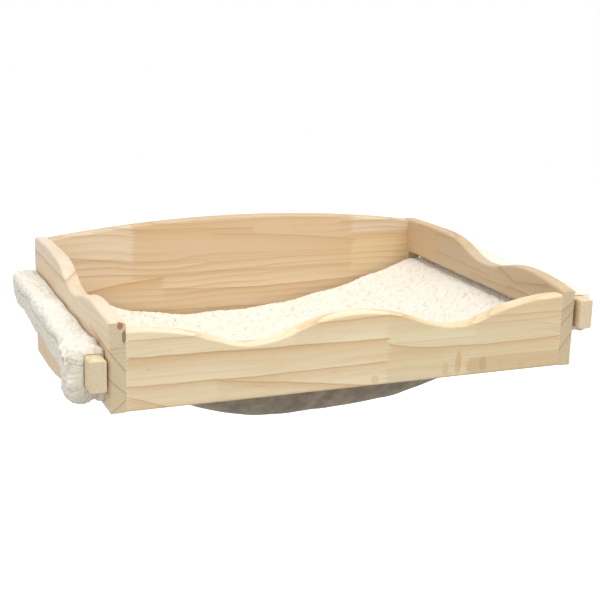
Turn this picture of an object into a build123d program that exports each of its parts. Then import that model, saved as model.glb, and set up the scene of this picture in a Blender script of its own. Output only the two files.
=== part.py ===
# Wall-hung pet hammock: four wave-cut pine boards, a fleece sling through slots in the end
# boards, and a loose bar in a sewn sleeve outside each end board.
# X runs along the frame, Y from the room to the wall, Z up. The origin is on the wall, midway
# along the frame, level with the lower edge of the front board.

from build123d import *
import math
import os

os.makedirs("parts", exist_ok=True)

# Driving dimensions, millimetres

# Frame
frame_length = 560.0  # outside the end boards
frame_depth = 415.0  # wall to front face
board = 18.0  # board thickness
edge_round = 3.0  # sanded board edges

# Front board, heights above its lower edge and places from the middle
front_crest_h = 86.3
front_trough_x = 127.0
front_trough_h = 61.2
front_end_h = 87.5
front_inner_share = 0.6  # where a wave's two arcs meet, as a share of its run
front_outer_share = 0.2

# Back board
back_crest_h = 120.0
back_end_h = 101.5
rear_drop = 54.0  # how far the back board and the rear of the end boards reach down

# End boards, places from the front face
nose_h = {"left": 96.5, "right": 90.5}  # shaped by hand, the left one stands higher
hump_y = 82.0
hump_h = 99.5
dip_y = 182.0
dip_h = 84.2
crest_y = 290.0
crest_h = 104.9
hump_share = 0.6
crest_share = 0.4
step_front_y = 88.0  # the lower edge starts to fall here
step_rear_y = 350.0  # and is level again from here to the wall
step_share = 0.25

# Slot for the sling in each end board
slot_floor_h = 37.0
slot_height = 20.0
slot_margin = 4.0  # from the inner faces of the front and back boards
slot_corner = 4.0

# Blind dowels in the corner joints
dowel_radius = 4.0
dowel_length = 30.0
dowel_in_end = 11.0  # length in the end board
dowel_tip = 1.0  # chamfer on a dowel's ends
dowel_clear = 0.05
dowel_end_clear = 0.5
front_dowel_h = (20.0, 64.0)
back_dowel_h = (-30.0, 22.0, 80.0)

# Sling of two bonded layers, hung between the slots and still in the shape of a long stay
fleece = 5.0
suede = 1.2
layer_clear = 0.2
slot_clear = 0.3  # under the cloth where it lies on the slot's floor
sling_margin = 3.0  # between the cloth's long edges and the slot's ends
lip = 2.0  # the cloth bends down this far inside the end board
sag_shift = -66.0  # lowest line, off the middle
sag = (67.5, 97.0, 106.0, 93.0, 58.0)  # fall below the slot, from the front edge to the rear edge

# Bars in the sleeves outside the end boards
bar_width = 18.0
bar_height = 35.0
bar_round = 3.0
bar_tip = 1.0
bar_reach = 6.0  # in front of the front face
bar_wall_gap = 12.0  # rear end to wall
bar_off_board = 3.5
bar_mid_h = {"left": 43.0, "right": 62.3}  # where each bar was pushed in

# Sewn sleeves round the bars
sleeve_clear = 0.3  # to the bar and to the end board
sleeve_front = 16.0  # how far the fleece's front end lies behind the front face
sleeve_rear = 20.0  # rear end to wall
sleeve_top = {"left": 4.0, "right": 8.0}  # cloth thickness round the bar
sleeve_side = {"left": 10.0, "right": 11.0}
sleeve_under = {"left": 12.0, "right": 8.5}
sleeve_round = 9.0
sleeve_inner_round = 2.5
bunch_side = {"left": 6.0, "right": 1.5}  # the gathered front end stands out by this
bunch_under = {"left": 4.0, "right": 1.0}
bunch_length = 90.0

# Keyhole hanger plates let into the back board
hang_inset = 90.0  # from the ends of the frame
hang_h = 70.0  # middle of the round entry hole
plate_width = 18.0
plate_height = 52.0
plate = 2.0
plate_inset = 0.2  # below the board's back face
plate_clear = 0.2
plate_corner = 4.0
entry_radius = 5.5
neck_radius = 2.75
key_travel = 10.0
head_room = 9.0  # depth of the pocket for the wall screw's head
head_room_clear = 1.5
screw_pitch = 38.0
screw_radius = 1.75
screw_head_radius = 3.5
screw_length = 12.0
screw_point = 3.0
screw_clear = 0.05
recess_length = 3.6  # cross recess in a screw's head
recess_width = 0.9
recess_depth = 1.0

# Places worked out from the driving dimensions
half_length = frame_length / 2
inner_x = half_length - board
front_y = -frame_depth
front_inner_y = front_y + board
back_inner_y = -board
slot_front_y = front_inner_y + slot_margin
slot_rear_y = back_inner_y - slot_margin
sling_front_y = slot_front_y + sling_margin
sling_rear_y = slot_rear_y - sling_margin
bar_front_y = front_y - bar_reach
bar_rear_y = -bar_wall_gap
bar_inner_x = half_length + bar_off_board
bar_outer_x = bar_inner_x + bar_width
dowel_in_long = dowel_length - dowel_in_end
hang_x = half_length - hang_inset
plate_mid_h = hang_h + key_travel / 2
sides = {"left": -1, "right": 1}


def wave(start, end, share):
    """Two arcs, level at both ends, that meet on the line between them."""
    run, rise = end[0] - start[0], end[1] - start[1]
    joint = (start[0] + share * run, start[1] + share * rise)
    TangentArc(start, joint, tangent=(run, 0))
    TangentArc(end, joint, tangent=(-run, 0))


def long_edges(part, axis):
    """The edges of a part that run mainly along an axis."""
    return part.edges().filter_by(lambda edge: abs(edge.tangent_at(0.5).dot(axis)) > 0.5)


def cloth_edge(rise, fall):
    """Half sections of a sling surface, rise above the cloth's underside: two level-bottomed arcs."""
    level = slot_floor_h + slot_clear
    low = (sag_shift, level - fall + rise)
    edge = []
    for sign in sides.values():
        reach = inner_x - lip - sign * sag_shift
        radius = (reach**2 + fall**2) / (2 * fall)
        run = math.sqrt((radius - rise) ** 2 - (radius - fall - rise) ** 2)
        edge.append((sag_shift + sign * run, level + rise))
    return edge[0], low, edge[1]


def sling_layer(low_rise, high_rise):
    """One layer of the sling, lofted from its front edge to its rear edge."""
    end_x = half_length + sleeve_clear
    step = (sling_rear_y - sling_front_y) / (len(sag) - 1)
    with BuildPart() as layer:
        for place, fall in enumerate(sag):
            with BuildSketch(Plane.XZ.offset(-(sling_front_y + place * step))):
                with BuildLine():
                    for rise in (low_rise, high_rise):
                        left, low, right = cloth_edge(rise, fall)
                        Line((-end_x, left[1]), left)
                        TangentArc(low, left, tangent=(-1, 0))
                        TangentArc(low, right, tangent=(1, 0))
                        Line(right, (end_x, right[1]))
                    bottom, top = (slot_floor_h + slot_clear + r for r in (low_rise, high_rise))
                    Line((-end_x, bottom), (-end_x, top))
                    Line((end_x, bottom), (end_x, top))
                make_face()
        loft()
    return layer


def dowel_places(sign, y, heights, outward):
    """Places of a corner's dowels on the inner face of an end board."""
    turn = 90 if outward * sign > 0 else -90
    return [Location((sign * inner_x, y, h), (0, turn, 0)) for h in heights]


corners = {
    "front": (front_y + board / 2, front_dowel_h),
    "back": (-board / 2, back_dowel_h),
}

# Front board
with BuildPart() as front_panel:
    with BuildSketch(Plane.XZ.offset(-front_inner_y)):
        with BuildLine():
            wave((0, front_crest_h), (front_trough_x, front_trough_h), front_inner_share)
            wave((front_trough_x, front_trough_h), (inner_x, front_end_h), front_outer_share)
            Polyline((inner_x, front_end_h), (inner_x, 0), (0, 0), (0, front_crest_h))
        make_face()
        mirror(about=Plane.YZ)
    extrude(amount=board)
    fillet(long_edges(front_panel, Vector(1, 0, 0)), edge_round)
    for sign in sides.values():
        with Locations(*dowel_places(sign, *corners["front"], outward=1)):
            Hole(dowel_radius + dowel_clear, depth=dowel_in_long + dowel_end_clear)
front_panel.part.label = "front_panel"
export_step(front_panel.part, "parts/front_panel.step")

# Back board, arched on top, with pockets for the hanger plates in its wall side
with BuildPart() as back_panel:
    with BuildSketch(Plane.XZ):
        with BuildLine():
            ThreePointArc((-inner_x, back_end_h), (0, back_crest_h), (inner_x, back_end_h))
            Polyline(
                (inner_x, back_end_h),
                (inner_x, -rear_drop),
                (-inner_x, -rear_drop),
                (-inner_x, back_end_h),
            )
        make_face()
    extrude(amount=board)
    fillet(long_edges(back_panel, Vector(1, 0, 0)), edge_round)
    for sign in sides.values():
        with Locations(*dowel_places(sign, *corners["back"], outward=1)):
            Hole(dowel_radius + dowel_clear, depth=dowel_in_long + dowel_end_clear)
        with BuildSketch(Plane.XZ):
            with Locations((sign * hang_x, plate_mid_h)):
                RectangleRounded(
                    plate_width + 2 * plate_clear,
                    plate_height + 2 * plate_clear,
                    plate_corner + plate_clear,
                )
        extrude(amount=plate + plate_inset, mode=Mode.SUBTRACT)
        with BuildSketch(Plane.XZ):
            with Locations((sign * hang_x, plate_mid_h)):
                SlotCenterToCenter(key_travel, 2 * (entry_radius + head_room_clear), rotation=90)
        extrude(amount=head_room, mode=Mode.SUBTRACT)
        with BuildSketch(Plane.XZ):
            with Locations((sign * hang_x, plate_mid_h)):
                with GridLocations(0, screw_pitch, 1, 2):
                    Circle(screw_radius + screw_clear)
        extrude(amount=plate_inset + screw_length + screw_clear, mode=Mode.SUBTRACT)
back_panel.part.label = "back_panel"
export_step(back_panel.part, "parts/back_panel.step")


def end_place(distance, height):
    """A point of an end board's outline, its distance counted from the front face."""
    return (front_y + distance, height)


for side, sign in sides.items():
    # End board: waved on top, deeper towards the wall, with the slot for the sling
    with BuildPart() as end_panel:
        with BuildSketch(Plane.YZ.offset(sign * half_length)):
            with BuildLine():
                hump, dip = end_place(hump_y, hump_h), end_place(dip_y, dip_h)
                crest = end_place(crest_y, crest_h)
                TangentArc(hump, end_place(0, nose_h[side]), tangent=(-1, 0))
                wave(hump, dip, hump_share)
                wave(dip, crest, crest_share)
                TangentArc(crest, (0, back_end_h), tangent=(1, 0))
                Polyline(
                    (0, back_end_h),
                    (0, -rear_drop),
                    end_place(step_rear_y, -rear_drop),
                )
                wave(end_place(step_front_y, 0), end_place(step_rear_y, -rear_drop), step_share)
                Polyline(
                    end_place(step_front_y, 0),
                    end_place(0, 0),
                    end_place(0, nose_h[side]),
                )
            make_face()
        extrude(amount=-sign * board)
        outer_face = end_panel.faces().sort_by(Axis.X)[-1 if sign > 0 else 0]
        fillet(outer_face.edges(), edge_round)
        inner_face = end_panel.faces().sort_by(Axis.X)[0 if sign > 0 else -1]
        fillet(long_edges(inner_face, Vector(0, 1, 0)), edge_round)
        with BuildSketch(Plane.YZ.offset(sign * half_length)):
            with Locations(((slot_front_y + slot_rear_y) / 2, slot_floor_h + slot_height / 2)):
                RectangleRounded(slot_rear_y - slot_front_y, slot_height, slot_corner)
        extrude(amount=-sign * board, mode=Mode.SUBTRACT)
        for y, heights in corners.values():
            with Locations(*dowel_places(sign, y, heights, outward=-1)):
                Hole(dowel_radius + dowel_clear, depth=dowel_in_end + dowel_end_clear)
    end_panel.part.label = f"{side}_end_panel"
    export_step(end_panel.part, f"parts/{side}_end_panel.step")

    # Dowels of this end's two corners
    for corner, (y, heights) in corners.items():
        with BuildPart() as dowels:
            for h in heights:
                with BuildSketch(Plane.YZ.offset(sign * (inner_x - dowel_in_long))):
                    with Locations((y, h)):
                        Circle(dowel_radius)
                extrude(amount=sign * dowel_length)
            tips = dowels.edges().filter_by(GeomType.CIRCLE)
            chamfer(tips, dowel_tip)
        dowels.part.label = f"{corner}_{side}_dowels"
        export_step(dowels.part, f"parts/{corner}_{side}_dowels.step")

    # Loose bar that holds the sling's end
    bar_mid = (sign * (bar_inner_x + bar_outer_x) / 2, bar_mid_h[side])
    with BuildPart() as bar:
        with BuildSketch(Plane.XZ.offset(-bar_rear_y)):
            with Locations(bar_mid):
                RectangleRounded(bar_width, bar_height, bar_round)
        extrude(amount=bar_rear_y - bar_front_y)
        chamfer(bar.faces().filter_by(Axis.Y).edges(), bar_tip)
    bar.part.label = f"{side}_bar"
    export_step(bar.part, f"parts/{side}_bar.step")

    # Sleeve sewn from the sling's end, fuller at its gathered front end
    bar_low, bar_high = bar_mid_h[side] - bar_height / 2, bar_mid_h[side] + bar_height / 2
    sleeve_front_y = front_y + sleeve_front
    stations = (
        (-sleeve_rear, 0.0),
        (sleeve_front_y / 2, 0.15),
        (sleeve_front_y + bunch_length, 0.3),
        (sleeve_front_y + bunch_length / 3, 1.0),
        (sleeve_front_y, 0.6),
    )
    with BuildPart() as sleeve:
        for y, share in stations:
            outer = bar_outer_x + sleeve_side[side] + share * bunch_side[side]
            inner = half_length + sleeve_clear
            low = bar_low - sleeve_under[side] - share * bunch_under[side]
            high = bar_high + sleeve_top[side]
            with BuildSketch(Plane.XZ.offset(-y)):
                with BuildLine():
                    FilletPolyline(
                        (sign * inner, high),
                        (sign * outer, high),
                        (sign * outer, low),
                        (sign * inner, low),
                        radius=(sleeve_inner_round, sleeve_round, sleeve_round, sleeve_inner_round),
                        close=True,
                    )
                make_face()
        loft(ruled=True)
        with BuildSketch(Plane.XZ):
            with Locations(bar_mid):
                RectangleRounded(
                    bar_width + 2 * sleeve_clear,
                    bar_height + 2 * sleeve_clear,
                    bar_round + sleeve_clear,
                )
        extrude(amount=frame_depth, mode=Mode.SUBTRACT)
    sleeve.part.label = f"{side}_sleeve"
    export_step(sleeve.part, f"parts/{side}_sleeve.step")

    # Keyhole plate, its neck above the round entry
    screw_spots = [plate_mid_h - screw_pitch / 2, plate_mid_h + screw_pitch / 2]
    with BuildPart() as hanger:
        with BuildSketch(Plane.XZ.offset(plate_inset)):
            with Locations((sign * hang_x, plate_mid_h)):
                RectangleRounded(plate_width, plate_height, plate_corner)
                SlotCenterToCenter(key_travel, 2 * neck_radius, rotation=90, mode=Mode.SUBTRACT)
            with Locations((sign * hang_x, hang_h)):
                Circle(entry_radius, mode=Mode.SUBTRACT)
        extrude(amount=plate)
        with Locations(*[Location((sign * hang_x, -plate_inset, h), (-90, 0, 0)) for h in screw_spots]):
            CounterSinkHole(
                screw_radius + screw_clear,
                screw_head_radius + screw_clear,
                depth=plate,
                counter_sink_angle=90,
            )
    hanger.part.label = f"{side}_hanger_plate"
    export_step(hanger.part, f"parts/{side}_hanger_plate.step")

    # The two screws of that plate
    with BuildPart() as screws:
        for h in screw_spots:
            with BuildSketch(Plane.XY.offset(h)):
                with Locations((sign * hang_x, -plate_inset)):
                    Polygon(
                        (0, 0),
                        (screw_head_radius, 0),
                        (screw_radius, screw_radius - screw_head_radius),
                        (screw_radius, screw_point - screw_length),
                        (0, -screw_length),
                        align=None,
                    )
            revolve(axis=Axis((sign * hang_x, 0, h), (0, 1, 0)))
            with BuildSketch(Plane.XZ.offset(plate_inset)):
                with Locations((sign * hang_x, h)):
                    Rectangle(recess_length, recess_width)
                    Rectangle(recess_width, recess_length)
            extrude(amount=recess_depth, mode=Mode.SUBTRACT)
    screws.part.label = f"{side}_hanger_screws"
    export_step(screws.part, f"parts/{side}_hanger_screws.step")

# Sling: suede underneath, fleece on top
suede_layer = sling_layer(0, suede)
suede_layer.part.label = "suede_backing"
export_step(suede_layer.part, "parts/suede_backing.step")

fleece_layer = sling_layer(suede + layer_clear, suede + layer_clear + fleece)
fleece_layer.part.label = "fleece_bed"
export_step(fleece_layer.part, "parts/fleece_bed.step")
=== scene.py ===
import math

import bpy
import numpy as np
from mathutils import Matrix, Vector
from mathutils.bvhtree import BVHTree


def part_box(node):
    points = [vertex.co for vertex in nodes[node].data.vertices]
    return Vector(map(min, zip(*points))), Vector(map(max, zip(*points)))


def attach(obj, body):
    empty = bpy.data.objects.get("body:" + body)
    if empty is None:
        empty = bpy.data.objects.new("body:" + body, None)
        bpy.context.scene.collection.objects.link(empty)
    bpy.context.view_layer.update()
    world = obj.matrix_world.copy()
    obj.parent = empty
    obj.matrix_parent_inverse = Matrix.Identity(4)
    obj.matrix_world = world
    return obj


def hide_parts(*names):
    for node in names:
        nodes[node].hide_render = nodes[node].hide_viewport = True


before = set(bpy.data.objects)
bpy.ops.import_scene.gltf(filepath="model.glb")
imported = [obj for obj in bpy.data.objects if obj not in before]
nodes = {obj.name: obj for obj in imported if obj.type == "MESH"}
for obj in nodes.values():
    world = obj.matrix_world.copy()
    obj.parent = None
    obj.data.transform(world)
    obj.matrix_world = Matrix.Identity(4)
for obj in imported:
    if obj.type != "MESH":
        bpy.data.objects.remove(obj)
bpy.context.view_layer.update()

# Looks of the wall-hung pet hammock: pine boards, a sherpa sling and its two bars.
# Everything is in metres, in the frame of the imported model: X along the frame, Y to the wall, Z up.

print("frame loaded:", len(nodes), "nodes")

# Camera, set from the photo's edges

photoView = {
    "place": (-0.5484, -1.5610, 0.4320),
    "yaw": 22.37,  # degrees from +Y towards +X
    "pitch": 14.25,  # degrees down
    "roll": 1.52,
    "lens": 72.14,
    "sensor": 36,
    "shift": (0.0063, -0.0165),
    "farthest": 30,
}


def setCamera():
    yaw, pitch, roll = (math.radians(photoView[k]) for k in ("yaw", "pitch", "roll"))
    level = math.cos(pitch)
    ahead = Vector((math.sin(yaw) * level, math.cos(yaw) * level, -math.sin(pitch)))
    right = Vector((math.cos(yaw), -math.sin(yaw), 0))
    up = right.cross(ahead)
    sideways = right * math.cos(roll) + up * math.sin(roll)
    upwards = up * math.cos(roll) - right * math.sin(roll)
    camera = bpy.data.objects.new("camera", bpy.data.cameras.new("camera"))
    bpy.context.scene.collection.objects.link(camera)
    turn = Matrix((sideways, upwards, -ahead)).transposed().to_4x4()
    camera.matrix_world = Matrix.Translation(photoView["place"]) @ turn
    camera.data.lens = photoView["lens"]
    camera.data.sensor_width = photoView["sensor"]
    camera.data.shift_x, camera.data.shift_y = photoView["shift"]
    camera.data.clip_end = photoView["farthest"]
    bpy.context.scene.camera = camera


# Node helpers


def fill(tree, socket, value):
    if isinstance(value, bpy.types.NodeSocket):
        tree.links.new(value, socket)
    else:
        socket.default_value = value


def addNode(tree, kind, sockets=None, **settings):
    made = tree.nodes.new(kind)
    for name, value in settings.items():
        setattr(made, name, value)
    for name, value in (sockets or {}).items():
        fill(tree, made.inputs[name], value)
    return made


def calc(tree, operation, first, second=0.0, third=0.0, clamp=False):
    sockets = {0: first, 1: second}
    if operation == "MULTIPLY_ADD":
        sockets[2] = third
    return addNode(tree, "ShaderNodeMath", sockets, operation=operation, use_clamp=clamp).outputs[0]


def ramp(tree, value, low, high, start=0.0, end=1.0, smooth=False):
    sockets = {"Value": value, "From Min": low, "From Max": high, "To Min": start, "To Max": end}
    kind = "SMOOTHSTEP" if smooth else "LINEAR"
    return addNode(tree, "ShaderNodeMapRange", sockets, interpolation_type=kind, clamp=True).outputs[0]


def mixColour(tree, factor, first, second):
    # sockets 6 and 7 are the mix node's two colours, and output 2 is its colour
    return addNode(tree, "ShaderNodeMix", {0: factor, 6: first, 7: second}, data_type="RGBA").outputs[2]


def mixed(tree, much, mask, colour, tint):
    # the tint laid over a colour where the mask is, at most this much
    return mixColour(tree, calc(tree, "MULTIPLY", mask, much), colour, tint)


def noise(tree, place, scale, detail=2.0, rough=0.5):
    sockets = {"Vector": place, "Scale": scale, "Detail": detail, "Roughness": rough}
    return addNode(tree, "ShaderNodeTexNoise", sockets).outputs["Fac"]


def vectorCalc(tree, operation, first, second, third=None):
    sockets = {0: first, 1: second}
    if third is not None:
        sockets[2] = third
    return addNode(tree, "ShaderNodeVectorMath", sockets, operation=operation).outputs[0]


def stretched(tree, place, scales):
    return vectorCalc(tree, "MULTIPLY", place, scales)


def warped(tree, place, scale, reach):
    # a place shifted by noise, as far as reach says on each axis
    swirl = addNode(tree, "ShaderNodeTexNoise", {"Vector": place, "Scale": scale, "Detail": 2.0})
    return vectorCalc(tree, "MULTIPLY_ADD", swirl.outputs["Color"], reach, place)


def bumped(tree, shader, strength, distance, height):
    bump = addNode(tree, "ShaderNodeBump", {"Strength": strength, "Distance": distance, "Height": height})
    tree.links.new(bump.outputs[0], shader.inputs["Normal"])


def paint(red, green, blue):
    # a colour as the eye reads it, 0 to 255, turned linear
    shares = (red / 255, green / 255, blue / 255)
    linear = (c / 12.92 if c < 0.0431 else ((c + 0.055) / 1.055) ** 2.4 for c in shares)
    return (*linear, 1.0)


def newGroup(name, inputs, outputs):
    group = bpy.data.node_groups.new(name, "ShaderNodeTree")
    for label, (kind, value) in inputs.items():
        socket = group.interface.new_socket(label, in_out="INPUT", socket_type="NodeSocket" + kind)
        if value is not None:
            socket.default_value = value
    for label, kind in outputs.items():
        group.interface.new_socket(label, in_out="OUTPUT", socket_type="NodeSocket" + kind)
    start = group.nodes.new("NodeGroupInput")
    end = group.nodes.new("NodeGroupOutput")
    return group, start.outputs, end.inputs


def placeGroup(tree, group, sockets):
    # addNode sets the group before it fills the sockets, which the node only has from then on
    return addNode(tree, "ShaderNodeGroup", sockets, node_tree=group).outputs


def parts(tree, vector):
    return addNode(tree, "ShaderNodeSeparateXYZ", {0: vector}).outputs


# Shared effects of the wood. A board vector is (along the grain, height, into the thickness).

joint = {"pitch": 0.0024, "slope": 3.0}  # finger joint: half the teeth's pitch, and their steepness


def withTeeth(tree, board, fingers):
    # the place along the grain, shifted to and fro by the teeth of a finger joint
    teeth = calc(tree, "PINGPONG", board[1], joint["pitch"])
    teeth = calc(tree, "MULTIPLY_ADD", teeth, joint["slope"], -joint["slope"] * joint["pitch"] / 2)
    return calc(tree, "ADD", board[0], calc(tree, "MULTIPLY", teeth, fingers))


def makeRingBand():
    # a growth ring that crosses a board, sharp on its upper side and fading below
    group, given, out = newGroup(
        "ringBand",
        {
            "Board": ("Vector", None),
            "Start": ("Vector", (0, 0, 0)),
            "End": ("Vector", (1, 0, 0)),
            "Bow": ("Float", 0.0),
            "Lean": ("Float", 0.4),
            "Fade": ("Float", 0.006),
            "Strength": ("Float", 0.5),
            "Fingers": ("Float", 0.0),
        },
        {"Mask": "Float", "Edge": "Float"},
    )
    board, start, end = (parts(group, given[name]) for name in ("Board", "Start", "End"))
    waver = noise(group, stretched(group, given["Board"], (14, 5, 14)), 1.0, 3.0, 0.55)
    waver = calc(group, "MULTIPLY_ADD", waver, 0.005, -0.0025)
    along = withTeeth(group, board, given["Fingers"])
    run = calc(group, "SUBTRACT", end[0], start[0])
    share = calc(group, "DIVIDE", calc(group, "SUBTRACT", board[0], start[0]), run)
    rise = calc(group, "MULTIPLY", calc(group, "SUBTRACT", end[1], start[1]), share)
    hump = calc(group, "MULTIPLY", share, calc(group, "SUBTRACT", 1.0, share))
    hump = calc(group, "MULTIPLY", calc(group, "MULTIPLY", hump, 4.0), given["Bow"])
    line = calc(group, "ADD", calc(group, "ADD", start[1], rise), calc(group, "ADD", hump, waver))
    line = calc(group, "ADD", line, calc(group, "MULTIPLY", board[2], given["Lean"]))
    under = calc(group, "SUBTRACT", line, board[1])
    fading = calc(group, "DIVIDE", calc(group, "MAXIMUM", under, 0.0), given["Fade"])
    fading = calc(group, "POWER", 0.3679, fading)  # an exponential fall
    edge = ramp(group, under, -0.0009, 0.0001)
    inside = ramp(group, along, calc(group, "SUBTRACT", start[0], 0.0004), start[0])
    past = calc(group, "SUBTRACT", end[0], along)
    inside = calc(group, "MULTIPLY", inside, ramp(group, past, 0.0, 0.0004))
    mask = calc(group, "MULTIPLY", calc(group, "MULTIPLY", fading, edge), inside)
    group.links.new(calc(group, "MULTIPLY", mask, given["Strength"], clamp=True), out["Mask"])
    thin = calc(group, "MULTIPLY", ramp(group, under, 0.0, 0.0016, 1.0, 0.0), edge)
    thin = calc(group, "MULTIPLY", calc(group, "MULTIPLY", thin, inside), given["Strength"])
    group.links.new(thin, out["Edge"])
    return group


def makeStripMask():
    # one stave of a laminated board, from its finger joint to the next, between two glue lines
    group, given, out = newGroup(
        "stripMask",
        {
            "Board": ("Vector", None),
            "Low": ("Vector", (0, 0, 0)),
            "High": ("Vector", (1, 1, 0)),
            "Fingers": ("Float", 0.0),
            "Soft": ("Float", 0.0006),
        },
        {"Mask": "Float", "Rim": "Float"},
    )
    board, low, high = (parts(group, given[name]) for name in ("Board", "Low", "High"))
    along = withTeeth(group, board, given["Fingers"])
    sides = (
        calc(group, "SUBTRACT", along, low[0]),
        calc(group, "SUBTRACT", high[0], along),
        calc(group, "SUBTRACT", board[1], low[1]),
        calc(group, "SUBTRACT", high[1], board[1]),
    )
    nearest = sides[0]
    for side in sides[1:]:
        nearest = calc(group, "MINIMUM", nearest, side)
    half = calc(group, "MULTIPLY", given["Soft"], 0.5)
    mask = ramp(group, nearest, calc(group, "MULTIPLY", half, -1.0), half, smooth=True)
    rim = ramp(group, calc(group, "ABSOLUTE", nearest), 0.0, 0.0006, 1.0, 0.0)
    group.links.new(mask, out["Mask"])
    group.links.new(rim, out["Rim"])
    return group


def makeSpot():
    # a knot, a resin smear or a filled place
    group, given, out = newGroup(
        "spot",
        {
            "Board": ("Vector", None),
            "Middle": ("Vector", (0, 0, 0)),
            "Reach": ("Vector", (0.01, 0.01, 0.01)),
            "Ragged": ("Float", 0.25),
        },
        {"Mask": "Float"},
    )
    off = vectorCalc(group, "SUBTRACT", given["Board"], given["Middle"])
    off = vectorCalc(group, "DIVIDE", off, given["Reach"])
    far = addNode(group, "ShaderNodeVectorMath", {0: off}, operation="LENGTH").outputs["Value"]
    waver = calc(group, "SUBTRACT", noise(group, given["Board"], 240.0, 3.0, 0.6), 0.5)
    ragged = calc(group, "MULTIPLY", given["Ragged"], 4.0)
    far = calc(group, "ADD", far, calc(group, "MULTIPLY", waver, ragged))
    group.links.new(ramp(group, far, 0.75, 1.15, 1.0, 0.0, smooth=True), out["Mask"])
    return group


def makeFineGrain():
    # broad and thin streaks along the grain, short dark resin dashes and growth rings
    group, given, out = newGroup(
        "fineGrain",
        {"Board": ("Vector", None), "Seed": ("Vector", (0, 0, 0))},
        {"Broad": "Float", "Streak": "Float", "Dash": "Float", "Ring": "Float"},
    )
    place = vectorCalc(group, "ADD", given["Board"], given["Seed"])
    waver = warped(group, place, 9.0, (0.0, 0.012, 0.012))
    group.links.new(noise(group, stretched(group, waver, (3, 60, 60)), 1.0, 3.0, 0.5), out["Broad"])
    group.links.new(noise(group, stretched(group, waver, (16, 620, 620)), 1.0, 4.0, 0.6), out["Streak"])
    height = parts(group, waver)[1]
    drift = noise(group, stretched(group, place, (2.0, 7, 7)), 1.0, 2.0, 0.5)
    level = calc(group, "MULTIPLY_ADD", drift, 6.0, calc(group, "MULTIPLY", height, 95.0))
    rings = calc(group, "POWER", calc(group, "FRACT", level), 2.2)
    shown = noise(group, stretched(group, place, (4, 26, 26)), 1.0, 1.0, 0.5)
    group.links.new(calc(group, "MULTIPLY", rings, ramp(group, shown, 0.35, 0.65)), out["Ring"])
    dashes = noise(group, stretched(group, waver, (90, 900, 900)), 1.0, 1.0, 0.5)
    patches = noise(group, stretched(group, place, (14, 40, 40)), 1.0, 1.0, 0.5)
    dash = calc(group, "MULTIPLY", ramp(group, dashes, 0.66, 0.76), ramp(group, patches, 0.5, 0.68))
    group.links.new(dash, out["Dash"])
    return group


ringBand, stripMask = makeRingBand(), makeStripMask()
spot, fineGrain = makeSpot(), makeFineGrain()

# Boards. Places are millimetres along the grain and above the front board's lower edge.

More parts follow.
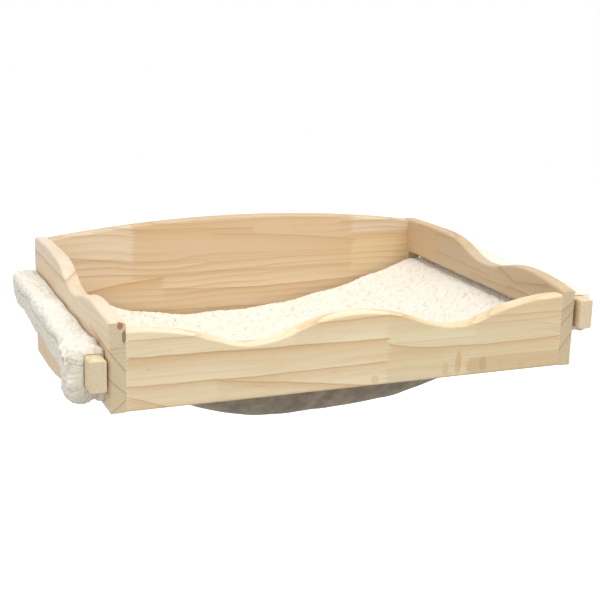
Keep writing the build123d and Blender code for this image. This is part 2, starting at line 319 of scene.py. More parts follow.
boardLooks = {
    "front_panel": {
        "grain": "X",
        "faceAt": -0.415,
        "ringed": 0.20,
        "ring": paint(200, 158, 104),
        "seed": (0.3, 0.1, 0.7),
        "base": paint(236, 221, 189),
        "strips": [  # from, low, to, high, colour, how much, fingers
            (36, -5, 300, 120, paint(220, 204, 170), 0.8, 1),
            (36, 47, 150, 78, paint(228, 216, 180), 0.7, 1),
            (140, -5, 300, 20.5, paint(208, 184, 150), 0.7, 1),
        ],
        "rings": [  # start, end, bow, fade, strength, lean over the thickness
            ((-262, 77.5), (-150, 75), 0.0, 5, 0.50, 0.4),
            ((-262, 58.5), (36, 54.5), -1.0, 12, 0.85, 0.4),
            ((-262, 27.5), (36, 28), -2.5, 7, 0.70, 0.4),
            ((-165, 24.5), (36, -2), 1.0, 10, 0.75, 0.4),
            ((-262, 16), (-215, 0), 1.0, 12, 0.55, 0.4),
            ((-75, 76.5), (36, 81), 0.5, 9, 0.60, 0.4),
            ((38, 80), (100, 72), 0.0, 6, 0.55, 0.4),
            ((38, 47), (104, 37.5), -1.5, 8, 0.70, 0.4),
            ((104, 37.5), (262, 37.5), -1.0, 7, 0.65, 0.4),
            ((130, 69.5), (262, 68.5), 0.0, 3, 0.40, 0.4),
            ((120, 61.5), (262, 61.5), 0.0, 4, 0.35, 0.4),
            ((60, 90), (262, 82), 0.0, 4, 0.30, 0.4),
        ],
        "spots": [
            ((126.5, 17, 0), (4.2, 14, 12), paint(206, 166, 118), 0.65),
            ((110, 11, 0), (4.2, 7.5, 12), paint(208, 182, 132), 0.6),
            ((147, 12, 0), (10, 9, 12), paint(202, 174, 130), 0.5),
            ((159, 12.5, 0), (5, 9, 12), paint(188, 156, 114), 0.55),
            ((21, 7, 0), (5, 5.5, 12), paint(212, 184, 132), 0.55),
        ],
    },
    "back_panel": {
        "grain": "X",
        "faceAt": -0.018,
        "ringed": 0.60,
        "ring": paint(180, 140, 98),
        "seed": (1.3, 0.4, 0.2),
        "base": paint(214, 196, 170),
        "strips": [
            (-152, 58, 170, 140, paint(202, 172, 136), 0.65, 1),
            (-152, 41, 170, 62, paint(206, 176, 138), 0.5, 1),
            (170, 42, 300, 77, paint(216, 192, 148), 0.7, 1),
            (170, 77, 300, 88, paint(200, 164, 116), 0.6, 1),
            (-300, -80, 300, 40.5, paint(214, 190, 154), 0.6, 0),
        ],
        "rings": [
            ((-262, 78), (-152, 61), 1.0, 7, 0.55, 0.4),
            ((-262, 50), (-120, 44), 0.0, 2, 0.50, 0.4),
            ((-262, 18), (-110, 40), 2.0, 16, 0.80, 0.4),
            ((-150, 108), (20, 103), 0.0, 9, 0.50, 0.4),
            ((-40, 97), (175, 78), 3.0, 8, 0.50, 0.4),
            ((150, 106), (262, 103), 0.0, 5, 0.50, 0.4),
            ((-150, 45), (170, 44), 0.0, 9, 0.45, 0.4),
            ((-110, 24), (262, 30), -8.0, 16, 0.60, 0.4),
            ((-262, -8), (262, -20), 6.0, 12, 0.55, 0.4),
        ],
        "spots": [],
    },
    "left_end_panel": {
        "grain": "Y",
        "faceAt": -0.280,
        "ringed": 0.30,
        "ring": paint(196, 156, 112),
        "seed": (2.1, 0.9, 0.3),
        "base": paint(226, 210, 184),
        "strips": [
            (-260, 86, 20, 130, paint(224, 208, 186), 0.8, 0),
            (-150, 40, 20, 86, paint(226, 200, 170), 0.6, 1),
            (-420, -80, 20, 24, paint(216, 194, 164), 0.6, 0),
        ],
        "rings": [
            ((-262, 90), (20, 86), 0.5, 4, 0.70, 0.4),
            ((-415, 68), (-150, 62), 1.0, 9, 0.45, 0.4),
            ((-430, 67), (-330, 72), 0.0, 1.6, 1.00, -1.3),
            ((-430, 37), (-350, 42), 0.0, 1.2, 0.80, -1.0),
            ((-430, -0.5), (-300, 6), 0.0, 1.2, 0.80, 0.8),
            ((-300, 8), (20, -16), 3.0, 10, 0.55, 0.4),
        ],
        "spots": [
            ((-414, 93.5, 12), (7, 4.2, 3.2), paint(158, 100, 74), 0.85),
            ((-414, 82, 16), (5, 7.5, 2.4), paint(120, 88, 66), 0.8),
        ],
    },
    "right_end_panel": {
        "grain": "Y",
        "faceAt": 0.262,
        "ringed": 0.34,
        "ring": paint(166, 132, 98),
        "seed": (0.6, 1.9, 0.8),
        # painted shade: this base is darker and greyer than the other boards' because the board's inner
        # face lies in shade inside the frame
        "base": paint(194, 174, 146),
        "strips": [
            (-103, 20, 20, 130, paint(200, 172, 136), 0.8, 1),
            (-420, -80, 20, 22, paint(190, 168, 138), 0.6, 0),
        ],
        "rings": [
            ((-385, 92), (-310, 79), -1.0, 4, 0.70, 0.4),
            ((-310, 79), (-262, 93), -1.0, 4, 0.70, 0.4),
            ((-250, 73), (-103, 74), 0.5, 3, 0.45, 0.4),
            ((-190, 101), (-100, 99), 1.0, 4, 0.50, 0.4),
            ((-430, 68.5), (-200, 66), 0.0, 7, 0.40, 0.4),
            ((-430, 67), (-290, 70), 0.0, 1.5, 0.90, 0.77),
            ((-430, 51.4), (-270, 54), 0.0, 2, 0.90, 0.97),
            ((-430, 21), (-300, 18), 0.0, 2, 0.90, 1.25),
            ((-430, -46), (-380, -46), 0.0, 2, 0.90, 3.5),
            ((-380, 20), (20, -10), 4.0, 12, 0.45, 0.4),
        ],
        "spots": [],
    },
}
boardFinish = {
    "edge": paint(158, 114, 72),
    "streak": paint(206, 172, 124),
    "dash": paint(150, 122, 88),
    "glue": paint(176, 140, 98),
    "endGrain": paint(210, 194, 162),
    "pore": paint(160, 136, 100),
    "endRing": paint(128, 100, 68),
    "roughness": 0.55,
    "specular": 0.35,
    "bump": 0.18,
    "bumpDepth": 0.0006,
}


def boardVector(tree, grain, faceAt):
    place = addNode(tree, "ShaderNodeTexCoord").outputs["Object"]
    x, y, z = parts(tree, place)
    along, across = (x, y) if grain == "X" else (y, x)
    deep = calc(tree, "SUBTRACT", across, faceAt)
    return addNode(tree, "ShaderNodeCombineXYZ", {0: along, 1: z, 2: deep}).outputs[0]


def endGrainMask(tree, grain):
    normal = addNode(tree, "ShaderNodeTexCoord").outputs["Normal"]
    facing = parts(tree, normal)[grain]
    return ramp(tree, calc(tree, "ABSOLUTE", facing), 0.55, 0.9, smooth=True)


def newMaterial(name):
    material = bpy.data.materials.new(name)
    material.use_nodes = True
    tree = material.node_tree
    tree.nodes.clear()
    shader = tree.nodes.new("ShaderNodeBsdfPrincipled")
    out = tree.nodes.new("ShaderNodeOutputMaterial")
    tree.links.new(shader.outputs[0], out.inputs[0])
    return material, tree, shader


def millimetres(values):
    return tuple(v / 1000 for v in values)


def makeBoard(name, look):
    material, tree, shader = newMaterial(name)
    board = boardVector(tree, look["grain"], look["faceAt"])
    grain = placeGroup(tree, fineGrain, {"Board": board, "Seed": look["seed"]})
    colour = look["base"]
    glue = 0.0
    for start, low, end, high, tint, much, fingers in look["strips"]:
        stave = placeGroup(
            tree,
            stripMask,
            {
                "Board": board,
                "Low": millimetres((start, low, 0)),
                "High": millimetres((end, high, 0)),
                "Fingers": float(fingers),
            },
        )
        colour = mixed(tree, much, stave["Mask"], colour, tint)
        seam = calc(tree, "MULTIPLY", stave["Rim"], 0.35 if fingers else 0.15)
        glue = calc(tree, "MAXIMUM", glue, seam)
    rings = edges = 0.0
    for start, end, bow, fade, strength, lean in look["rings"]:
        band = placeGroup(
            tree,
            ringBand,
            {
                "Board": board,
                "Start": millimetres((*start, 0)),
                "End": millimetres((*end, 0)),
                "Bow": bow / 1000,
                "Lean": lean,
                "Fade": fade / 1000,
                "Strength": strength,
                "Fingers": 1.0,
            },
        )
        rings = calc(tree, "MAXIMUM", rings, band["Mask"])
        edges = calc(tree, "MAXIMUM", edges, band["Edge"])
    rings = calc(tree, "MULTIPLY", rings, ramp(tree, grain["Streak"], 0.2, 0.7, 0.75, 1.0))
    colour = mixed(tree, look["ringed"], grain["Ring"], colour, look["ring"])
    colour = mixed(tree, 0.95, rings, colour, look["ring"])
    edges = calc(tree, "MULTIPLY", edges, ramp(tree, grain["Broad"], 0.35, 0.6, 0.15, 0.6))
    colour = mixColour(tree, edges, colour, boardFinish["edge"])
    broad = ramp(tree, grain["Broad"], 0.42, 0.68)
    colour = mixed(tree, 0.34, broad, colour, boardFinish["streak"])
    streak = ramp(tree, grain["Streak"], 0.45, 0.75)
    colour = mixed(tree, 0.22, streak, colour, boardFinish["streak"])
    colour = mixed(tree, 0.55, grain["Dash"], colour, boardFinish["dash"])
    colour = mixColour(tree, glue, colour, boardFinish["glue"])
    ends = endGrainMask(tree, look["grain"])
    pores = noise(tree, stretched(tree, board, (60, 900, 900)), 1.0, 2.0, 0.6)
    endTint = mixColour(tree, ramp(tree, pores, 0.5, 0.8), boardFinish["endGrain"], boardFinish["pore"])
    endTint = mixed(tree, 0.7, rings, endTint, boardFinish["endRing"])
    colour = mixed(tree, 0.75, ends, colour, endTint)
    for middle, reach, tint, much in look["spots"]:
        mark = placeGroup(
            tree,
            spot,
            {"Board": board, "Middle": millimetres(middle), "Reach": millimetres(reach)},
        )["Mask"]
        colour = mixed(tree, much, mark, colour, tint)
    tree.links.new(colour, shader.inputs["Base Color"])
    shine = calc(tree, "MULTIPLY_ADD", streak, 0.10, boardFinish["roughness"])
    tree.links.new(shine, shader.inputs["Roughness"])
    shader.inputs["Specular IOR Level"].default_value = boardFinish["specular"]
    height = calc(tree, "SUBTRACT", calc(tree, "MULTIPLY", grain["Streak"], 0.5), glue)
    bumped(tree, shader, boardFinish["bump"], boardFinish["bumpDepth"], height)
    return material


def dress(node, material):
    mesh = nodes[node].data
    mesh.materials.clear()
    mesh.materials.append(material)
    for face in mesh.polygons:
        face.material_index = 0


# Bars, dowels and metal

plainWoods = {
    "left_bar": {"base": paint(222, 206, 172), "streak": paint(200, 172, 126), "seed": (0.2, 0.5, 0.4)},
    "right_bar": {"base": paint(224, 204, 168), "streak": paint(198, 162, 118), "seed": (1.1, 0.2, 0.9)},
    "dowel": {"base": paint(214, 182, 142), "streak": paint(186, 148, 104), "seed": (0.7, 0.7, 0.1)},
}
barEnds = {
    "base": paint(222, 208, 180),
    "pore": paint(196, 178, 142),
    "arc": paint(186, 156, 106),
}
steel = {
    "base": paint(186, 188, 190),
    "dull": paint(150, 152, 154),
    "roughness": (0.26, 0.46),
}


def makePlainWood(name, grain):
    look = plainWoods[name]
    material, tree, shader = newMaterial(name + "_wood")
    board = boardVector(tree, grain, 0.0)
    fine = placeGroup(tree, fineGrain, {"Board": board, "Seed": look["seed"]})
    waves = calc(tree, "FRACT", calc(tree, "MULTIPLY", fine["Broad"], 6.0))
    colour = mixed(tree, 0.35, waves, look["base"], look["streak"])
    streak = ramp(tree, fine["Streak"], 0.4, 0.75)
    colour = mixed(tree, 0.35, streak, colour, look["streak"])
    ends = endGrainMask(tree, grain)
    pores = noise(tree, stretched(tree, board, (60, 800, 800)), 1.0, 2.0, 0.6)
    arcs = noise(tree, stretched(tree, board, (6, 60, 160)), 1.0, 1.0, 0.4)
    arcs = ramp(tree, calc(tree, "PINGPONG", calc(tree, "MULTIPLY", arcs, 9.0), 0.5), 0.3, 0.5)
    endTint = mixColour(tree, ramp(tree, pores, 0.45, 0.8, 0.0, 0.6), barEnds["base"], barEnds["pore"])
    endTint = mixed(tree, 0.35, arcs, endTint, barEnds["arc"])
    colour = mixed(tree, 0.8, ends, colour, endTint)
    tree.links.new(colour, shader.inputs["Base Color"])
    tree.links.new(ramp(tree, fine["Streak"], 0.2, 0.8, 0.5, 0.65), shader.inputs["Roughness"])
    shader.inputs["Specular IOR Level"].default_value = boardFinish["specular"]
    bumped(tree, shader, 0.2, 0.0005, fine["Streak"])
    return material


def makeSteel():
    material, tree, shader = newMaterial("zinc_plate")
    place = addNode(tree, "ShaderNodeTexCoord").outputs["Object"]
    spangle = noise(tree, place, 900.0, 3.0, 0.6)
    brushed = noise(tree, stretched(tree, place, (300, 300, 6000)), 1.0, 2.0, 0.5)
    tree.links.new(mixColour(tree, spangle, steel["base"], steel["dull"]), shader.inputs["Base Color"])
    tree.links.new(ramp(tree, brushed, 0.2, 0.8, *steel["roughness"]), shader.inputs["Roughness"])
    shader.inputs["Metallic"].default_value = 1.0
    bumped(tree, shader, 0.12, 0.0002, brushed)
    return material


# Cloth

sherpaLook = {
    # tip, root and shade: painted shade, lighter at the curls' tips and darker down between them
    "tip": paint(242, 236, 223),
    "root": paint(228, 220, 203),
    "shade": paint(200, 190, 172),
    "fibres": 1800.0,  # fine hairs per metre
    "curls": 420.0,  # small curls per metre
    "roughness": 0.95,
    "specular": 0.15,
    "sheen": 0.35,
    "sheenRoughness": 0.6,
    "bump": 0.7,
    "bumpDepth": 0.0012,
}
suedeLook = {
    "base": paint(166, 154, 137),
    "dark": paint(122, 110, 96),
    "worn": paint(176, 166, 150),
    "roughness": 0.95,
    "specular": 0.2,
    "sheen": 0.25,
    "bump": 0.5,
    "bumpDepth": 0.0005,
}


def makeSherpa():
    # "pile" is written on each vertex: 0 at the root of the curls, 1 at their tips; the colour darkens
    # towards the roots as painted shade
    material, tree, shader = newMaterial("sherpa")
    place = addNode(tree, "ShaderNodeTexCoord").outputs["Object"]
    pile = addNode(tree, "ShaderNodeAttribute", attribute_name="pile").outputs["Fac"]
    swirled = warped(tree, place, 160.0, (0.006, 0.006, 0.006))
    sockets = {"Vector": swirled, "Scale": sherpaLook["curls"]}
    curls = addNode(tree, "ShaderNodeTexVoronoi", sockets, feature="SMOOTH_F1")
    curls = calc(tree, "SUBTRACT", 1.0, curls.outputs["Distance"])
    fibres = noise(tree, swirled, sherpaLook["fibres"], 3.0, 0.7)
    height = calc(tree, "MULTIPLY_ADD", fibres, 0.5, curls)
    curlShadeDepth = calc(tree, "MULTIPLY_ADD", calc(tree, "SUBTRACT", height, 1.0), 0.5, pile)
    # painted shade: darker down between the curls, lighter at their tips
    colour = mixColour(tree, ramp(tree, curlShadeDepth, 0.0, 0.55), sherpaLook["shade"], sherpaLook["root"])
    colour = mixColour(tree, ramp(tree, curlShadeDepth, 0.15, 0.75), colour, sherpaLook["tip"])
    tree.links.new(colour, shader.inputs["Base Color"])
    shader.inputs["Roughness"].default_value = sherpaLook["roughness"]
    shader.inputs["Specular IOR Level"].default_value = sherpaLook["specular"]
    shader.inputs["Sheen Weight"].default_value = sherpaLook["sheen"]
    shader.inputs["Sheen Roughness"].default_value = sherpaLook["sheenRoughness"]
    bumped(tree, shader, sherpaLook["bump"], sherpaLook["bumpDepth"], height)
    return material


def makeSuede():
    material, tree, shader = newMaterial("suede")
    place = addNode(tree, "ShaderNodeTexCoord").outputs["Object"]
    nap = noise(tree, place, 2600.0, 3.0, 0.7)
    brushed = noise(tree, stretched(tree, place, (60, 20, 60)), 1.0, 4.0, 0.6)
    colour = mixColour(tree, ramp(tree, brushed, 0.35, 0.7), suedeLook["dark"], suedeLook["base"])
    colour = mixColour(tree, ramp(tree, nap, 0.4, 0.8, 0.0, 0.5), colour, suedeLook["worn"])
    tree.links.new(colour, shader.inputs["Base Color"])
    shader.inputs["Roughness"].default_value = suedeLook["roughness"]
    shader.inputs["Specular IOR Level"].default_value = suedeLook["specular"]
    shader.inputs["Sheen Weight"].default_value = suedeLook["sheen"]
    bumped(tree, shader, suedeLook["bump"], suedeLook["bumpDepth"], nap)
    return material


# Cloth meshes

curlLook = {
    "size": 0.0050,  # width of one lock of curls
    "height": 0.0020,
    "seed": 7,
}


def lockField(across, along, seed):
    # rounded locks on a jittered grid, 1 at a lock's middle and 0 between locks
    dice = np.random.default_rng(seed)
    cells = 61
    shift = dice.uniform(0.12, 0.88, (2, cells, cells))
    size = dice.uniform(0.55, 0.8, (cells, cells))
    tall = dice.uniform(0.6, 1.0, (cells, cells))
    u, v = across / curlLook["size"], along / curlLook["size"]
    u = u + 0.35 * np.sin(v * 1.3 + 1.7 * np.sin(u * 0.7))
    v = v + 0.35 * np.sin(u * 1.1 + 2.1 * np.sin(v * 0.6))
    best = np.zeros_like(u)
    for stepU in (-1, 0, 1):
        for stepV in (-1, 0, 1):
            cellU, cellV = np.floor(u).astype(int) + stepU, np.floor(v).astype(int) + stepV
            i, j = cellU % cells, cellV % cells
            away = np.hypot(u - cellU - shift[0, i, j], v - cellV - shift[1, i, j]) / size[i, j]
            best = np.maximum(best, np.sqrt(np.clip(1 - away**2, 0, 1)) * tall[i, j])
    return best


def softWaves(u, v, seed, count, shortest, longest):
    # a sum of slow waves in random directions, about -1 to 1
    dice = np.random.default_rng(seed)
    total = np.zeros_like(u)
    for _ in range(count):
        turn = dice.uniform(0, math.pi)
        length = dice.uniform(shortest, longest)
        start = dice.uniform(0, 2 * math.pi)
        total += np.sin((u * math.cos(turn) + v * math.sin(turn)) * 2 * math.pi / length + start)
    return total / math.sqrt(count)


def addMesh(name, points, faces, material, pile=None):
    mesh = bpy.data.meshes.new(name)
    mesh.from_pydata([tuple(p) for p in points], [], faces)
    mesh.validate()
    mesh.polygons.foreach_set("use_smooth", [True] * len(mesh.polygons))
    if pile is not None:
        written = mesh.attributes.new("pile", "FLOAT", "POINT")
        written.data.foreach_set("value", np.asarray(pile, np.float32))
    mesh.materials.append(material)
    made = bpy.data.objects.new(name, mesh)
    bpy.context.scene.collection.objects.link(made)
    return made


def treeOf(node):
    mesh = nodes[node].data
    corners = [v.co.copy() for v in mesh.vertices]
    return BVHTree.FromPolygons(corners, [tuple(f.vertices) for f in mesh.polygons])


def heights(tree, xs, ys, fromAbove):
    # where a vertical ray meets a CAD node, on a grid
    start, way = (0.3, Vector((0, 0, -1))) if fromAbove else (-0.3, Vector((0, 0, 1)))
    found = np.zeros((len(xs), len(ys)))
    for i, x in enumerate(xs):
        for j, y in enumerate(ys):
            hit = tree.ray_cast(Vector((x, y, start)), way)[0]
            found[i, j] = hit.z if hit else np.nan
    return found


def spread(coarse, xs, ys, fineX, fineY):
    # the coarse grid read at finer places
    rows = np.array([np.interp(fineX, xs, coarse[:, j]) for j in range(coarse.shape[1])]).T
    return np.array([np.interp(fineY, ys, rows[i]) for i in range(rows.shape[0])])


def gridFaces(columns, rows, offset=0, flip=False):
    faces = []
    for i in range(columns - 1):
        for j in range(rows - 1):
            a = offset + i * rows + j
            face = (a, a + rows, a + rows + 1, a + 1)
            faces.append(face[::-1] if flip else face)
    return faces


def rimOf(columns, rows):
    # the border of a grid, once round
    rim = [i * rows for i in range(columns)]
    rim += [(columns - 1) * rows + j for j in range(1, rows)]
    rim += [i * rows + rows - 1 for i in range(columns - 2, -1, -1)]
    rim += [j for j in range(rows - 2, 0, -1)]
    return rim


cloth = {
    "slotFloor": 0.037,  # the suede lies on this in the slots
    "fleeceLow": 0.0014,  # the fleece's underside, above the suede's
    "fleeceTop": 0.0064,
    "suedeTop": 0.0012,
}
frontEdge = {
    "width": 0.032,
    "rise": 0.42,  # share of the fall that the taut front edge stands above the belly
    "belly": 0.0070,
    "bellyAt": 0.036,  # from the front edge
    "bellyReach": 0.017,
}


def turnUp(surface, u, v, layer):
    # layer is the height of this side of the cloth above the underside
    away = np.clip(1 - (v - v[0, 0]) / frontEdge["width"], 0, 1)
    fall = np.clip(cloth["slotFloor"] + layer - surface[:, :1], 0, 1)
    belly = (v - v[0, 0] - frontEdge["bellyAt"]) / frontEdge["bellyReach"]
    belly = np.exp(-(belly**2)) * frontEdge["belly"]
    belly = belly * np.clip(fall / 0.02, 0, 1) * np.clip((u + 0.03) / 0.11, 0.0, 1)  # fuller on the right
    return surface + away**2 * fall * frontEdge["rise"] - belly


bedLook = {
    "step": 0.0021,  # mesh size of the pile
    "coarse": 5,  # how many steps the underside skips
    "loft": 0.0022,  # pile above the CAD cloth
    "wrinkle": 0.0016,
    "rim": 0.004,  # rounding of the long edges
}


def scan(node, low, high, inset):
    # the node's top and underside on a grid, kept off its edges by the inset
    xs = np.linspace(low.x + inset, high.x - inset, 90)
    ys = np.linspace(low.y + inset, high.y - inset, 50)
    hits = treeOf(node)
    return xs, ys, heights(hits, xs, ys, True), heights(hits, xs, ys, False)


def makeBed(sherpa):
    low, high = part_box("fleece_bed")
    xs, ys, top, bottom = scan("fleece_bed", low, high, 0.0004)
    skip = bedLook["coarse"]
    columns = round((high.x - low.x) / bedLook["step"] / skip) * skip + 1
    rows = round((high.y - low.y) / bedLook["step"] / skip) * skip + 1
    fineX, fineY = np.linspace(xs[0], xs[-1], columns), np.linspace(ys[0], ys[-1], rows)
    u, v = np.meshgrid(fineX, fineY, indexing="ij")
    surface = turnUp(spread(top, xs, ys, fineX, fineY), u, v, cloth["fleeceTop"])
    locks = lockField(u, v, curlLook["seed"])
    slack = np.clip((0.24 - np.abs(u)) / 0.06, 0, 1)
    wrinkle = softWaves(u, v, 3, 6, 0.05, 0.16) * bedLook["wrinkle"] * slack
    edge = np.minimum(v - fineY[0], fineY[-1] - v)
    rounding = np.clip(1 - edge / bedLook["rim"], 0, 1)
    drop = (1 - np.sqrt(1 - rounding**2)) * bedLook["rim"]
    lift = bedLook["loft"] + locks * curlLook["height"] * (1 - 0.5 * rounding) - drop
    surface = surface + wrinkle + lift
    topPoints = np.stack([u, v, surface], -1).reshape(-1, 3)
    coarseX, coarseY = fineX[::skip], fineY[::skip]
    lowU, lowV = np.meshgrid(coarseX, coarseY, indexing="ij")
    under = turnUp(spread(bottom, xs, ys, coarseX, coarseY), lowU, lowV, cloth["fleeceLow"]) + 0.0002
    lowPoints = np.stack([lowU, lowV, under], -1).reshape(-1, 3)
    faces = gridFaces(columns, rows)
    faces += gridFaces(len(coarseX), len(coarseY), len(topPoints), flip=True)
    fineRim = rimOf(columns, rows)
    coarseRim = [k + len(topPoints) for k in rimOf(len(coarseX), len(coarseY))]
    for k in range(len(coarseRim)):
        upper = [fineRim[(k * skip + m) % len(fineRim)] for m in range(skip + 1)]
        faces.append((coarseRim[k], coarseRim[(k + 1) % len(coarseRim)], *upper[::-1]))
    # painted shade: the pile written here colours the fleece darker between the locks and on its
    # underside
    pile = np.concatenate([(0.35 + 0.65 * locks).ravel(), np.full(len(lowPoints), 0.3)])
    bed = addMesh("sherpa_bed", np.concatenate([topPoints, lowPoints]), faces, sherpa, pile)
    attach(bed, "frame")
    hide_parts("fleece_bed")
    return bed


suedeSheet = {"step": 0.004, "wrinkle": 0.0005}


def makeSuedeSheet(suede):
    low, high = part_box("suede_backing")
    xs, ys, top, bottom = scan("suede_backing", low, high, 0.0003)
    columns = round((high.x - low.x) / suedeSheet["step"])
    rows = round((high.y - low.y) / suedeSheet["step"])
    fineX, fineY = np.linspace(xs[0], xs[-1], columns), np.linspace(ys[0], ys[-1], rows)
    u, v = np.meshgrid(fineX, fineY, indexing="ij")
    slack = np.clip((0.24 - np.abs(u)) / 0.05, 0, 1)
    wrinkle = softWaves(u, v, 11, 7, 0.03, 0.12) * suedeSheet["wrinkle"] * slack
    top = turnUp(spread(top, xs, ys, fineX, fineY), u, v, cloth["suedeTop"]) - 0.0001
    under = turnUp(spread(bottom, xs, ys, fineX, fineY), u, v, 0.0) - 0.0001 * slack
    under += np.minimum(wrinkle, 0)
    points = [np.stack([u, v, z], -1).reshape(-1, 3) for z in (top, under)]
    shift = len(points[0])
    faces = gridFaces(columns, rows) + gridFaces(columns, rows, shift, flip=True)
    rim = rimOf(columns, rows)
    for k, corner in enumerate(rim):
        following = rim[(k + 1) % len(rim)]
        faces.append((corner + shift, following + shift, following, corner))
    sheet = addMesh("suede_underside", np.concatenate(points), faces, suede)
    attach(sheet, "frame")
    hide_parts("suede_backing")
    return sheet


# Sleeves: a loop of cloth round each bar, its outside displaced and its ends rolled in

sleeveLook = {
    "step": 0.0018,
    "gap": 0.0004,  # cloth to bar
    "roll": 0.007,  # how far the ends roll in
    "corner": 0.009,
    "barCorner": 0.0034,
    "round": 110,  # points round the loop
    "left": {
        "creaseDepth": 0.0016,
        "bunch": 0.0045,  # swelling of the gathered front end
        "seed": 21,
        "taper": 0.0080,  # how much the underside rises towards the rear
        "inset": 0.004,  # how much the lower side draws in
        "press": 0.0,  # how much the top is pressed down
    },
    "right": {
        "creaseDepth": 0.0008,
        "bunch": 0.0014,
        "seed": 33,
        "taper": 0.004,
        "inset": 0.0,
        "press": 0.0025,
    },
}


def roundedLoop(low, high, corner, count):
    # points evenly spread round a rounded rectangle, with their outward normals, anticlockwise in XZ
    width, tall = high[0] - low[0], high[1] - low[1]
    corner = min(corner, width / 2 - 0.0005, tall / 2 - 0.0005)
    pieces = []
    spots = [
        ((high[0], high[1]), 0),
        ((low[0], high[1]), 90),
        ((low[0], low[1]), 180),
        ((high[0], low[1]), 270),
    ]
    for (x, z), start in spots:
        middle = (
            x - corner if x == high[0] else x + corner,
            z - corner if z == high[1] else z + corner,
        )
        for k in range(9):
            turn = math.radians(start + k * 90 / 8)
            pieces.append((middle[0] + corner * math.cos(turn), middle[1] + corner * math.sin(turn)))
    line = np.array(pieces + [pieces[0]])
    lengths = np.concatenate([[0], np.cumsum(np.hypot(*np.diff(line, axis=0).T))])
    at = np.linspace(0, lengths[-1], count, endpoint=False)
    points = np.stack([np.interp(at, lengths, line[:, 0]), np.interp(at, lengths, line[:, 1])], -1)
    ahead = np.roll(points, -1, 0) - np.roll(points, 1, 0)
    normals = np.stack([ahead[:, 1], -ahead[:, 0]], -1)
    normals /= np.hypot(*normals.T)[:, None]
    return points, normals, at, lengths[-1]


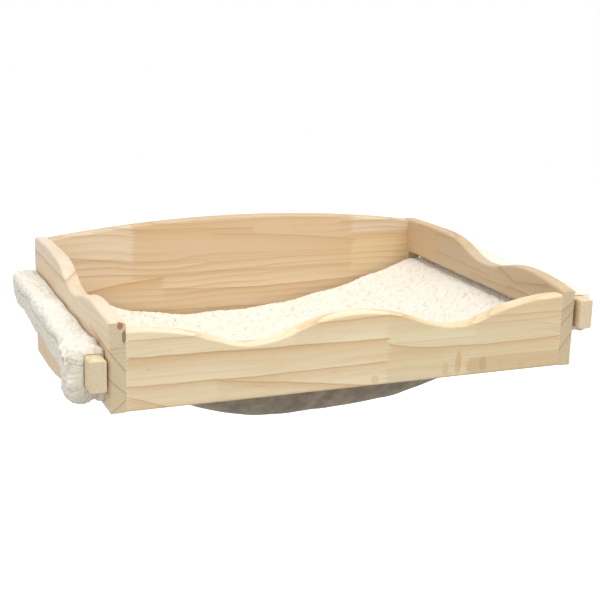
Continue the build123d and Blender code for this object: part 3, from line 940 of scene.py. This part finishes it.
def makeSleeve(side, sign, sherpa):
    look = sleeveLook[side]
    barLow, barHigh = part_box(side + "_bar")
    low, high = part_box(side + "_sleeve")
    gap = sleeveLook["gap"]
    columns = sleeveLook["round"]
    inner = roundedLoop(
        (barLow.x - gap, barLow.z - gap),
        (barHigh.x + gap, barHigh.z + gap),
        sleeveLook["barCorner"],
        columns,
    )[0]
    outerLow = [low.x, low.z]
    outerHigh = [high.x, high.z]
    bunch = look["bunch"]
    if sign < 0:
        outerLow[0] += bunch
    else:
        outerHigh[0] -= bunch
    outerLow[1] += bunch * 1.1
    outerHigh[1] -= look["press"]
    outer, normals, at, girth = roundedLoop(outerLow, outerHigh, sleeveLook["corner"], columns)
    length = high.y - low.y
    rows = round(length / sleeveLook["step"])
    fromFront = np.linspace(0, 1, rows) * length
    y = low.y + fromFront
    # the face towards the end board stays flat
    boardX = low.x if sign > 0 else high.x
    free = np.clip(np.abs(outer[:, 0] - boardX) / 0.006, 0, 1)[:, None]
    below = np.clip((outerHigh[1] - outer[:, 1]) / (outerHigh[1] - outerLow[1]), 0, 1)[:, None]
    outward = np.clip(normals[:, 0] * sign, 0, 1)[:, None]
    u, w = np.meshgrid(at, fromFront, indexing="ij")
    locks = lockField(u, w, look["seed"])
    tufts = lockField(u * 0.7, w * 0.7, look["seed"] + 9)
    slow = softWaves(u, w, look["seed"] + 1, 6, 0.04, 0.13) * 0.0012
    nearFront = np.exp(-((w - 0.018) ** 2) / (2 * 0.022**2))
    folds = np.sin(u / girth * 2 * math.pi * 7 + 3 * np.sin(w * 40)) * nearFront * bunch * 0.45
    puffed = np.clip(outward + 0.2 * (normals[:, 1:] * sign > 0.3), 0, 1)
    swell = nearFront * bunch * (0.4 + 0.9 * below) * puffed
    creaseAt = 0.24 + 0.08 * np.sin((w - 0.06) * 11) + 0.03 * np.sin(w * 47)
    crease = np.exp(-(((below - creaseAt) / 0.05) ** 2)) * outward * look["creaseDepth"]
    pits = np.clip(lockField(w * 1.4, u * 1.1, look["seed"] + 5) - 0.5, 0, 1)
    lift = (slow + folds + swell - crease * (0.6 + pits)) * free
    lift = lift + tufts * bunch * 1.3 * np.minimum(1, nearFront * 1.3) * free
    lift = lift + locks * curlLook["height"] * (0.15 + 0.85 * free)
    toRear = np.clip((w - 0.03) / 0.12, 0, 1)
    narrowing = look["taper"] * below**2 * toRear
    narrowing = narrowing - 0.0012 * (1 - below) ** 2 * free
    drawnIn = -sign * look["inset"] * below**2 * free
    rolled = np.minimum(fromFront, length - fromFront)
    rolled = np.clip(1 - rolled / sleeveLook["roll"], 0, 1)
    share = np.sqrt(1 - rolled**2)  # 1 along the sleeve, 0 where an end meets the bar
    points = np.zeros((columns, rows, 3))
    for axis, world in ((0, 0), (1, 2)):
        skin = outer[:, axis][:, None] + normals[:, axis][:, None] * lift
        skin = skin + (narrowing if axis == 1 else drawnIn)
        core = inner[:, axis][:, None]
        points[..., world] = core + (skin - core) * (0.12 + 0.88 * share[None, :])
    points[..., 1] = y[None, :]
    core = np.zeros((columns, 2, 3))
    core[:, :, 0], core[:, :, 2] = inner[:, 0][:, None], inner[:, 1][:, None]
    core[:, 0, 1], core[:, 1, 1] = y[0], y[-1]
    flat = np.concatenate([points.reshape(-1, 3), core.reshape(-1, 3)])
    faces = []
    shift = columns * rows
    for i in range(columns):
        n = (i + 1) % columns
        for j in range(rows - 1):
            faces.append((i * rows + j, i * rows + j + 1, n * rows + j + 1, n * rows + j))
        faces.append((shift + 2 * i, shift + 2 * n, shift + 2 * n + 1, shift + 2 * i + 1))
        faces.append((i * rows, n * rows, shift + 2 * n, shift + 2 * i))
        faces.append((i * rows + rows - 1, shift + 2 * i + 1, shift + 2 * n + 1, n * rows + rows - 1))
    # painted shade: the crease and its pits, and the rolled ends towards the bar, get low pile and so are
    # coloured darker
    pile = np.clip(0.3 + 0.7 * locks - crease / 0.0014 * (0.1 + 2.2 * pits), 0, 1)
    pile = np.concatenate([pile.ravel(), np.full(2 * columns, 0.2)])
    sleeve = addMesh(side + "_sherpa_sleeve", flat, faces, sherpa, pile)
    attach(sleeve, "frame")
    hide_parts(side + "_sleeve")
    return sleeve


# Studio

studio = {
    "floorAt": -0.62,
    "floorHalf": 4.0,
    "floorTint": paint(190, 186, 180),
    "floorGlow": 0.45,
    "ambient": 0.69,
    "ambientBelow": 0.45,  # share of it that comes from below
    "aim": (0, -0.2, 0.03),
    "lamps": {  # place, size, power
        "key": ((0.5, -1.5, 2.3), 2.2, 52.0),
        "side": ((1.9, -0.9, 0.7), 1.4, 8.0),
        "left": ((-2.0, -0.7, 1.1), 1.6, 16.0),
    },
}


def addLamp(name, place, size, power):
    lamp = bpy.data.lights.new(name, "AREA")
    lamp.size, lamp.energy = size, power
    made = bpy.data.objects.new(name, lamp)
    made.location = place
    made.rotation_mode = "QUATERNION"
    made.rotation_quaternion = (Vector(studio["aim"]) - Vector(place)).to_track_quat("-Z", "Y")
    bpy.context.scene.collection.objects.link(made)


def seenPlainly(tree):
    # 1 for what the camera, a reflection or glass sees, 0 for the light that reaches the object
    seen = addNode(tree, "ShaderNodeLightPath").outputs
    others = calc(tree, "MAXIMUM", seen["Is Glossy Ray"], seen["Is Transmission Ray"])
    return calc(tree, "MAXIMUM", seen["Is Camera Ray"], others)


def makeStudio():
    for name, (place, size, power) in studio["lamps"].items():
        addLamp(name, place, size, power)
    world = bpy.data.worlds.new("studio")
    bpy.context.scene.world = world
    world.use_nodes = True
    tree = world.node_tree
    tree.nodes.clear()
    plain = seenPlainly(tree)
    upward = parts(tree, addNode(tree, "ShaderNodeTexCoord").outputs["Generated"])[2]
    ambient = studio["ambient"]
    light = ramp(tree, upward, -0.3, 0.6, studio["ambientBelow"] * ambient, ambient)
    strength = calc(tree, "MULTIPLY_ADD", calc(tree, "SUBTRACT", 1.0, light), plain, light)
    back = addNode(tree, "ShaderNodeBackground", {"Color": (1, 1, 1, 1), "Strength": strength})
    out = tree.nodes.new("ShaderNodeOutputWorld")
    tree.links.new(back.outputs[0], out.inputs[0])

    half = studio["floorHalf"]
    corners = [(-half, -half, 0), (half, -half, 0), (half, half, 0), (-half, half, 0)]
    material = bpy.data.materials.new("floor")
    material.use_nodes = True
    tree = material.node_tree
    tree.nodes.clear()
    plain = seenPlainly(tree)
    tint = mixColour(tree, plain, studio["floorTint"], (1, 1, 1, 1))
    matt = addNode(tree, "ShaderNodeBsdfDiffuse", {"Color": tint}).outputs[0]
    strength = calc(tree, "MULTIPLY", plain, studio["floorGlow"])
    glow = addNode(tree, "ShaderNodeEmission", {"Color": (1, 1, 1, 1), "Strength": strength})
    out = tree.nodes.new("ShaderNodeOutputMaterial")
    both = addNode(tree, "ShaderNodeAddShader", {0: matt, 1: glow.outputs[0]})
    tree.links.new(both.outputs[0], out.inputs[0])
    floor = addMesh("floor", corners, [(0, 1, 2, 3)], material)
    floor.location.z = studio["floorAt"]


def main():
    setCamera()
    makeStudio()
    print("camera and studio set")
    for name, look in boardLooks.items():
        dress(name, makeBoard(name, look))
    for name in ("left_bar", "right_bar"):
        dress(name, makePlainWood(name, "Y"))
    dowel, zinc = makePlainWood("dowel", "X"), makeSteel()
    for name in nodes:
        if name.endswith("_dowels"):
            dress(name, dowel)
        if "_hanger_" in name:
            dress(name, zinc)
    print("wood and metal dressed")
    sherpa, suede = makeSherpa(), makeSuede()
    bed = makeBed(sherpa)
    underside = makeSuedeSheet(suede)
    sleeves = [makeSleeve("left", -1, sherpa), makeSleeve("right", 1, sherpa)]
    print("cloth made")


main()
bpy.context.scene.view_settings.view_transform = "Standard"
